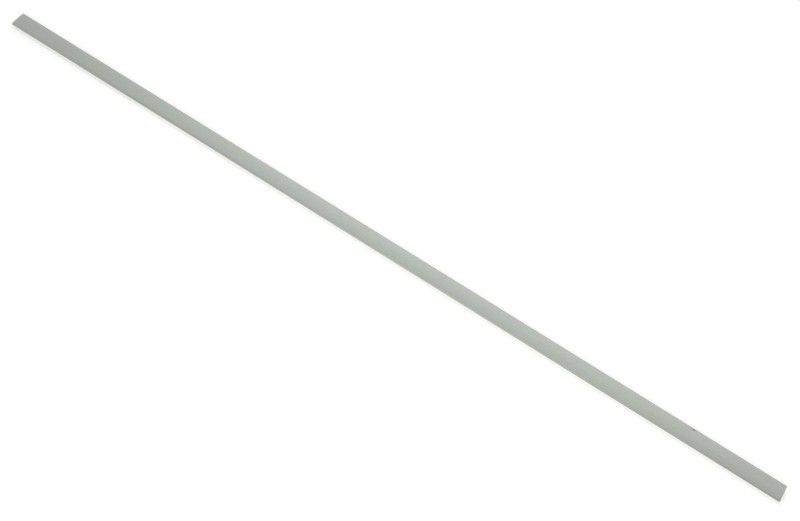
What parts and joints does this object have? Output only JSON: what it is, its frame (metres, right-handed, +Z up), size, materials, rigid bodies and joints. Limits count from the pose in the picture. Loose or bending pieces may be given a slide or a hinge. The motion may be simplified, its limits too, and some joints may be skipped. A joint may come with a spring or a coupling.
{
  "type": "trim moulding",
  "caption": "Slim straight cap moulding with a slightly crowned face, rounded edges and an open channel behind, cut square at both ends.",
  "frame": {"origin": "middle of the strip's length and width, on the plane that its two rims stand on", "axes": "+X along the strip, +Y across it, +Z up out of the face"},
  "size_m": [0.6, 0.012, 0.0057],
  "materials": {
    "faced_plastic": "satin silver-grey face over a white extruded plastic body"
  },
  "bodies": {
    "root": {"trim_strip": "faced_plastic"}
  },
  "joints": []
}
